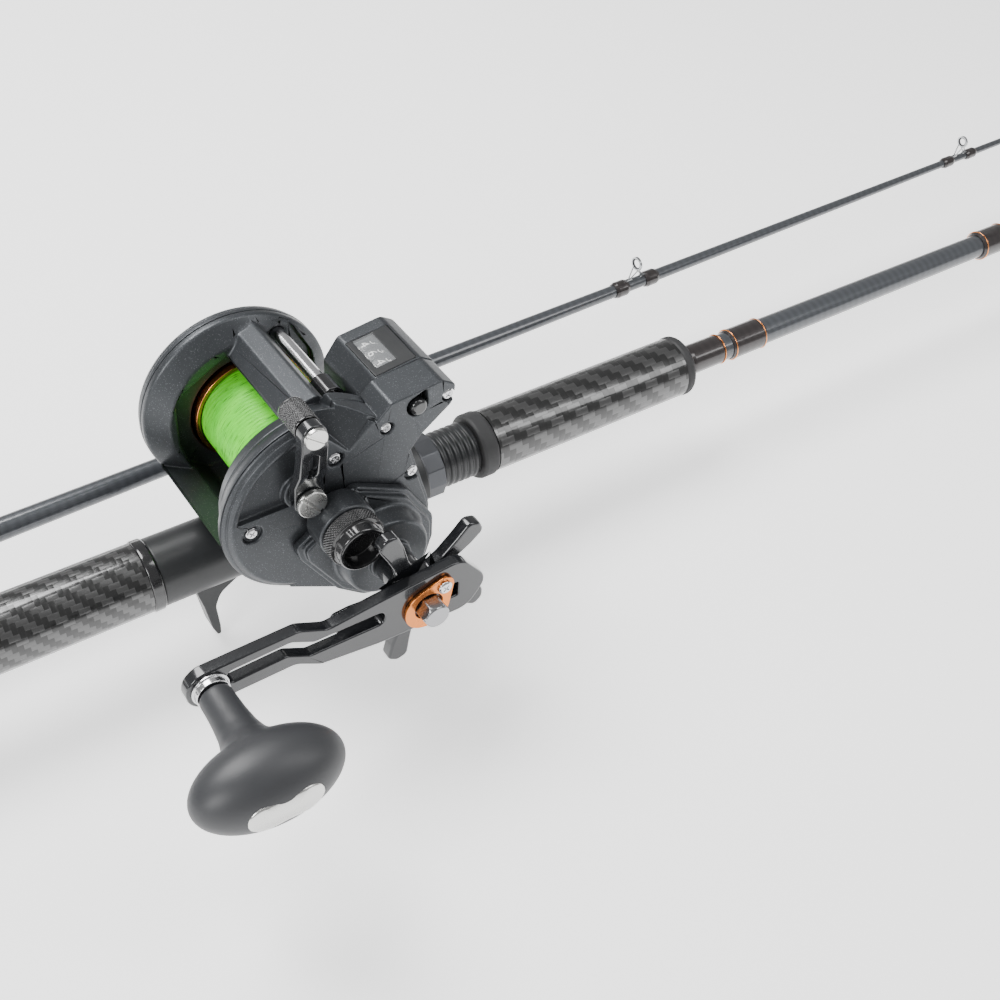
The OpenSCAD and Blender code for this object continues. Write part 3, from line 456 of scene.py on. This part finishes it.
# ------------------------------------------------------------------ finishes
GRAPHITE = graphite_paint("graphite")
GLOSS = plastic("gloss_black", (0.010, 0.010, 0.011), 0.16, coat=0.6, coat_rough=0.05)
SATIN = plastic("satin_black", (0.016, 0.017, 0.018), 0.36, 0.00002, 4200.0)
RUBBER = plastic("rubber", (0.022, 0.022, 0.023), 0.62, 0.00003, 2600.0)
KNOB = plastic("knob_rubber", (0.030, 0.031, 0.034), 0.46, 0.000012, 5200.0)
NUT = plastic("nut_grey", (0.075, 0.078, 0.085), 0.34, metal=0.6)
ARM = plastic("arm_black", (0.013, 0.014, 0.016), 0.2, metal=0.3, coat=0.7, coat_rough=0.04)
WIRE = metal("guide_wire", (0.42, 0.43, 0.44), 0.22)
STEEL = metal("bright_steel", (0.66, 0.66, 0.67), 0.16, 0.00001)
NUT_STEEL = metal("nut_steel", (0.34, 0.34, 0.35), 0.24, 0.00001)
CAP = metal("brushed_cap", (0.62, 0.62, 0.6), 0.26, 0.00002, 0)
BRASS = metal("brass", (0.72, 0.52, 0.22), 0.24, 0.00001)
COPPER = metal("copper", (0.80, 0.30, 0.10), 0.2, 0.00001)
ORANGE = metal("orange_plate", (0.75, 0.24, 0.06), 0.24)
SPOOL = metal("spool_dark", (0.07, 0.07, 0.075), 0.24, 0.00001)
CERAMIC = plastic("ceramic", (0.03, 0.03, 0.034), 0.12)
FOAM = plastic("foam", (0.25, 0.25, 0.22), 0.8)
FIBRE = plastic("fibre", (0.1, 0.1, 0.1), 0.7)
WINDOW = Mat("window", (0.9, 0.93, 0.95), 0.05, 0.0, 0.3)
WINDOW.set("Alpha", 0.10)
DIGIT = plastic("digit_white", (0.82, 0.82, 0.8), 0.5)
RESIN = lacquer("wrap_resin", (0.026, 0.021, 0.021))
REAR_WEAVE = weave("rear_weave", 0.01425, 0.0022, 0.085)
FORE_WEAVE = weave("fore_weave", 0.0138, 0.0032, 0.085)
BLANK = lacquer("blank", (0.060, 0.065, 0.073))

# CAD nodes that only take a material
PLAIN = {
    "rear_grip": REAR_WEAVE, "fore_grip": FORE_WEAVE, "grip_cores": FOAM,
    "butt_blank": BLANK, "tip_blank": BLANK,
    "butt_wraps": RESIN, "tip_wraps": RESIN, "butt_guide_ring": CERAMIC, "tip_guide_rings": CERAMIC,
    "tip_top_ring": CERAMIC, "butt_guide_frame": WIRE, "tip_guide_frames": WIRE, "tip_top": WIRE,
    "counter_lens": WINDOW.m, "counter_shaft": STEEL, "spool_shaft": STEEL, "spool_bearings": STEEL,
    "drive_shaft": STEEL, "knob_post": STEEL, "pinion": BRASS, "main_gear": BRASS, "idler_gear": BRASS,
    "drag_washers": FIBRE, "worm_shaft": STEEL,
}
# CAD nodes that get a refined copy, with the width of its rounded edges in millimetres
FINE = {
    "butt_cap": (RUBBER, 0.8), "rear_ring": (GLOSS, 0.5), "reel_seat": (SATIN, 0.5),
    "front_hood": (SATIN, 0.6),
    "hood_nut": (NUT, 0.4), "fore_grip_rings": (RUBBER, 0.6), "winding_check": (SATIN, 0.4),
    "reel_foot": (SATIN, 0.6), "reel_frame": (GRAPHITE, 0.9), "palm_cover": (GRAPHITE, 0.8),
    "handle_side_plate": (GRAPHITE, 0.7), "gear_cover": (GRAPHITE, 1.1), "counter_housing": (GRAPHITE, 0.8),
    "counter_bezel": (SATIN, 0.25), "hundreds_wheel": (SATIN, 0.2), "tens_wheel": (SATIN, 0.2),
    "ones_wheel": (SATIN, 0.2), "reset_button": (GLOSS, 0.5), "cover_screws": (STEEL, 0.15),
    "spool": (SPOOL, 0.4), "star_drag": (ARM, 1.1), "crank_arm": (ARM, 0.7),
    "crank_nut": (NUT_STEEL, 0.35), "nut_retainer": (ORANGE, 0.3), "retainer_screw": (STEEL, 0.15),
    "knob_bushings": (STEEL, 0.3), "clutch_lever": (ARM, 0.7), "lever_screw": (CAP, 0.35),
    "guide_tube": (STEEL, 0.2), "line_guide": (GLOSS, 0.5),
}
for node, material in PLAIN.items():
    N[node].data.materials.clear()
    N[node].data.materials.append(material)
for node, (material, width) in FINE.items():
    refine(node, material, width)


def cast_cap():
    """Cast control cap: a hollow end and a knurled band."""
    steps = 44
    front = [(0, -60.4, 0), (7.7, -60.4, 0.4), (7.7, -66.0, 0.35), (8.9, -66.0, 0.5), (9.4, -65.4, 0.3),
             (9.4, -61.8, 0.25), (10.3, -61.3, 0.2), (10.75, -61.2, 0)]
    band = [(11.15, -61.0 + 5.2 * k / steps, 1) for k in range(steps + 1)]
    rows = arc_rows(front) + [(10.75, -61.2, 0)] + band + [(10.7, -55.6, 0)]
    rows += [(7.6, -55.6, 0), (7.6, -58.6, 0), (0, -58.6, 0)]
    adopt(lathe_y("cast_cap_knurled", S, rows, 348, GLOSS, 0.42, 58, 0.82), "cast_control_cap")


def lever_grip():
    """Clutch lever's knurled grip and its slotted silver end."""
    steps = 88
    rows = [(0, -48.9, 0), (4.7, -48.9, 0), (5.05, -48.6, 0), (5.15, -48.2, 0)]
    for k in range(steps + 1):
        rows.append((5.15, -47.9 + 10.6 * k / steps, min(1.0, k / 3, (steps - k) / 3)))
    rows += [(5.15, -37.0, 0), (4.9, -36.4, 0), (4.3, -36.0, 0), (0, -36.0, 0)]
    adopt(lathe_y("lever_grip_knurled", LEVER_END, rows, 256, GLOSS, 0.34, 32, 0.98), "lever_knob")
    cap = refine("lever_knob", CAP, 0.25)
    bm = bmesh.new()
    bm.from_mesh(cap.data)
    barrel = [f for f in bm.faces if max(v.co.y for v in f.verts) > -48.7 * MM]
    bmesh.ops.delete(bm, geom=barrel, context="FACES")
    bmesh.ops.holes_fill(bm, edges=[e for e in bm.edges if e.is_boundary])
    bm.to_mesh(cap.data)
    bm.free()


def spool_rims():
    """Copper rims of the spool, both with the same rounded profile, the palm side's the wider."""
    inner, outer = 20.9, 22.45
    for side, (ya, yb) in enumerate(((-22.9, -19.9), (24.2, 28.9))):
        rows = [(inner, ya, 0), (outer, ya, 0.45), (outer, yb, 0.45), (inner, yb, 0), (inner, ya, 0)]
        adopt(lathe_y("spool_rim_%d" % side, S, arc_rows(rows), 160, COPPER), "spool_rims")


def wound_line():
    """Wound line: a low barrel of side-by-side turns."""
    turns, per_turn = 84, 6
    core, y0, y1 = 10.1, -19.9, 25.9
    rows = [(core, y0, 0)]
    for k in range(turns * per_turn + 1):
        t = k / (turns * per_turn)
        end = min(t, 1 - t)
        r = 20.3 - 0.9 * max(0.0, 1 - end / 0.05) ** 2
        r += 0.05 * (math.sin(2 * math.pi * turns * t) - 1)
        rows.append((r, y0 + (y1 - y0) * t, 0))
    rows += [(core, y1, 0), (core, y0, 0)]
    adopt(lathe_y("wound_line", S, rows, 144, line_material()), "line_pack")


def oval(name, n_u, n_v):
    """The knob's oval body about its long axis, which lies along X."""
    verts, faces = [], []
    for i in range(1, n_v):
        th = math.pi * i / n_v
        x = -OVAL_A * math.cos(th)
        r = OVAL_B * math.sin(th)
        for j in range(n_u):
            ph = 2 * math.pi * j / n_u
            y = KNOB_Y + r * math.cos(ph)
            verts.append(((K[0] + x) * MM, y * MM, (K[1] + r * math.sin(ph)) * MM))
    verts.append(((K[0] - OVAL_A) * MM, KNOB_Y * MM, K[1] * MM))
    verts.append(((K[0] + OVAL_A) * MM, KNOB_Y * MM, K[1] * MM))
    for i in range(n_v - 2):
        for j in range(n_u):
            j2 = (j + 1) % n_u
            faces.append((i * n_u + j, i * n_u + j2, (i + 1) * n_u + j2, (i + 1) * n_u + j))
    for j in range(n_u):
        j2 = (j + 1) % n_u
        faces.append((len(verts) - 2, j2, j))
        faces.append((len(verts) - 1, (n_v - 2) * n_u + j, (n_v - 2) * n_u + j2))
    return mesh_object(name, verts, faces, KNOB)


def knob_body():
    """Crank knob: an oval drawn out to its post, blended by remeshing."""
    body = oval("knob_body", 72, 48)
    rows = [(0, KNOB_Y + 2, 0), (12.5, KNOB_Y + 9, 0), (10.4, KNOB_Y + 12.6, 0), (8.6, KNOB_Y + 16, 0),
            (7.3, KNOB_Y + 21, 0), (6.5, KNOB_Y + 28, 0), (6.2, KNOB_Y + 34, 0), (6.15, ARM_Y - 4.4, 0),
            (5.8, ARM_Y - 3.9, 0), (0, ARM_Y - 3.9, 0)]
    neck = lathe_y("knob_neck", K, rows, 72, KNOB)
    bm = bmesh.new()
    bm.from_mesh(body.data)
    bm.from_mesh(neck.data)
    bm.to_mesh(body.data)
    bm.free()
    face_out(body.data)
    bpy.data.objects.remove(neck)
    remesh = body.modifiers.new("one_skin", "REMESH")
    remesh.mode = "VOXEL"
    remesh.voxel_size = 0.0006
    remesh.use_smooth_shade = True
    relax = body.modifiers.new("relax", "SMOOTH")
    relax.factor = 0.5
    relax.iterations = 14
    adopt(body, "crank_knob")


def knob_inlay():
    """Silver inlay of the knob, a long round-ended plate that follows the oval."""
    half, end_r, arc = 7.6, 5.75, 32
    outline = []
    for side in (1, -1):
        for k in range(arc + 1):
            t = -side * math.pi / 2 + math.pi * k / arc
            outline.append((side * half + end_r * math.cos(t), end_r * math.sin(t)))
    verts, faces = [], []
    levels = [(1.0, -0.9), (1.0, 0.1), (0.965, 0.32), (0.9, 0.36), (0.72, 0.36), (0.48, 0.36), (0.24, 0.36)]
    for scale, lift in levels:
        a, b = OVAL_A + lift, OVAL_B + lift
        for x, z in outline:
            x, z = x * scale, z * scale
            depth = b * math.sqrt(max(0.0, 1 - (x / a) ** 2 - (z / b) ** 2))
            verts.append(((K[0] + x) * MM, (KNOB_Y - depth) * MM, (K[1] + z) * MM))
    m = len(outline)
    for i in range(len(levels) - 1):
        for j in range(m):
            j2 = (j + 1) % m
            faces.append((i * m + j, i * m + j2, (i + 1) * m + j2, (i + 1) * m + j))
    faces.append(tuple(range((len(levels) - 1) * m, len(levels) * m)))
    faces.append(tuple(reversed(range(m))))
    inlay = mesh_object("knob_inlay", verts, faces, CAP)
    face_out(inlay.data)
    adopt(inlay, "knob_cap")


def trim_lines():
    """Copper lines laid over the thread wraps, at (x, radius)."""
    lines = ((541.6, 6.94), (548.4, 7.27), (566.2, 7.23), (718.2, 7.33), (734.2, 7.33), (752.0, 7.22),
             (760.9, 7.18))
    for x, r in lines:
        ring_x("trim_%d" % x, x, r, 0.28, COPPER, "butt_wraps")


def glyph_mesh(text, size):
    """The filled outline of one character, flat on XY."""
    curve = bpy.data.curves.new("glyph", "FONT")
    curve.body = text
    curve.size = size
    curve.align_x = "CENTER"
    curve.resolution_u = 4
    flat = bpy.data.objects.new("glyph", curve)
    bpy.context.scene.collection.objects.link(flat)
    dep = bpy.context.evaluated_depsgraph_get()
    me = bpy.data.meshes.new_from_object(flat.evaluated_get(dep))
    bpy.data.objects.remove(flat)
    bpy.data.curves.remove(curve)
    return me


def digit_ring(node, y_mid, shown):
    """Ten thin digits wrapped round a counter wheel, with one of them under the window."""
    cx, cz = C[0] * MM, C[1] * MM
    wheel_r, digit_r = 6.9 * MM, 6.94 * MM
    mid, slice_h = 1.95 * MM, 0.36 * MM
    window_angle = -0.12
    bm = bmesh.new()
    for k in range(10):
        me = glyph_mesh(str((shown + k) % 10), 5.4 * MM)
        g = bmesh.new()
        g.from_mesh(me)
        for i in range(1, 12):
            geom = list(g.verts) + list(g.edges) + list(g.faces)
            bmesh.ops.bisect_plane(g, geom=geom, plane_co=(0, slice_h * i, 0), plane_no=(0, 1, 0))
        for v in g.verts:
            angle = window_angle - k * math.pi / 5 + (v.co.y - mid) / wheel_r
            x, z = cx + digit_r * math.sin(angle), cz + digit_r * math.cos(angle)
            v.co = Vector((x, y_mid * MM - v.co.x, z))
        g.to_mesh(me)
        g.free()
        bm.from_mesh(me)
        bpy.data.meshes.remove(me)
    out = bpy.data.meshes.new(node + "_digits")
    bmesh.ops.recalc_face_normals(bm, faces=bm.faces)
    for f in bm.faces:
        c = f.calc_center_median()
        if f.normal.dot(Vector((c.x - cx, 0, c.z - cz))) < 0:
            f.normal_flip()
    bm.to_mesh(out)
    bm.free()
    out.materials.append(DIGIT)
    o = bpy.data.objects.new(node + "_digits", out)
    bpy.context.scene.collection.objects.link(o)
    adopt(o, node, hide=False)


cast_cap()
lever_grip()
spool_rims()
wound_line()
knob_body()
knob_inlay()
trim_lines()
digit_ring("hundreds_wheel", -5.6, 4)
digit_ring("tens_wheel", -11.6, 6)
digit_ring("ones_wheel", -17.6, 4)


# ------------------------------------------------------------------ studio
floor_mat = Mat("floor", (0.93, 0.93, 0.93), 0.9, 0.0, 0.1)
floor_mat.set("Emission Color", C4(1.0, 1.0, 1.0))
floor_mat.set("Emission Strength", 0.95)
FLOOR_Z = -0.047
corners = [(-30, -30, FLOOR_Z), (30, -30, FLOOR_Z), (30, 30, FLOOR_Z), (-30, 30, FLOOR_Z)]
floor = mesh_object("floor", corners, [(0, 1, 2, 3)], floor_mat.m, False)
bpy.context.scene.collection.objects.link(floor)

world = bpy.data.worlds.new("studio")
bpy.context.scene.world = world
world.use_nodes = True
world.node_tree.nodes["Background"].inputs["Color"].default_value = (1, 1, 1, 1)
world.node_tree.nodes["Background"].inputs["Strength"].default_value = 0.45


def area(name, loc, target, size, power, size_y=None):
    light = bpy.data.lights.new(name, "AREA")
    light.energy = power
    light.size = size
    if size_y:
        light.shape = "RECTANGLE"
        light.size_y = size_y
    o = bpy.data.objects.new(name, light)
    o.location = loc
    o.rotation_mode = "QUATERNION"
    o.rotation_quaternion = (Vector(target) - Vector(loc)).to_track_quat("-Z", "Y")
    bpy.context.scene.collection.objects.link(o)


area("key", (0.05, 0.5, 1.1), (0.33, 0, 0), 0.7, 22)
area("side", (-0.8, -0.5, 0.7), (0.33, 0, 0), 0.5, 11)
area("strip", (0.9, -0.5, 0.9), (0.36, 0, 0.03), 0.25, 5, 1.0)

# Camera, solved from the photo's perspective
CAMERA_AT = Vector((0.1431, -0.3816, 0.4075))
RIGHT = Vector((0.83289, -0.55121, 0.04965))
UP = Vector((0.34972, 0.59372, 0.72470))
FORWARD = Vector((0.42894, 0.58624, -0.68727))
lens = bpy.data.cameras.new("camera")
lens.lens = 51.9
lens.sensor_width = 36
lens.clip_start = 0.01
lens.clip_end = 80
camera = bpy.data.objects.new("camera", lens)
pose = Matrix.Identity(4)
for i in range(3):
    pose[i][0] = RIGHT[i]
    pose[i][1] = UP[i]
    pose[i][2] = -FORWARD[i]
pose.translation = CAMERA_AT
camera.matrix_world = pose
bpy.context.scene.collection.objects.link(camera)
bpy.context.scene.camera = camera
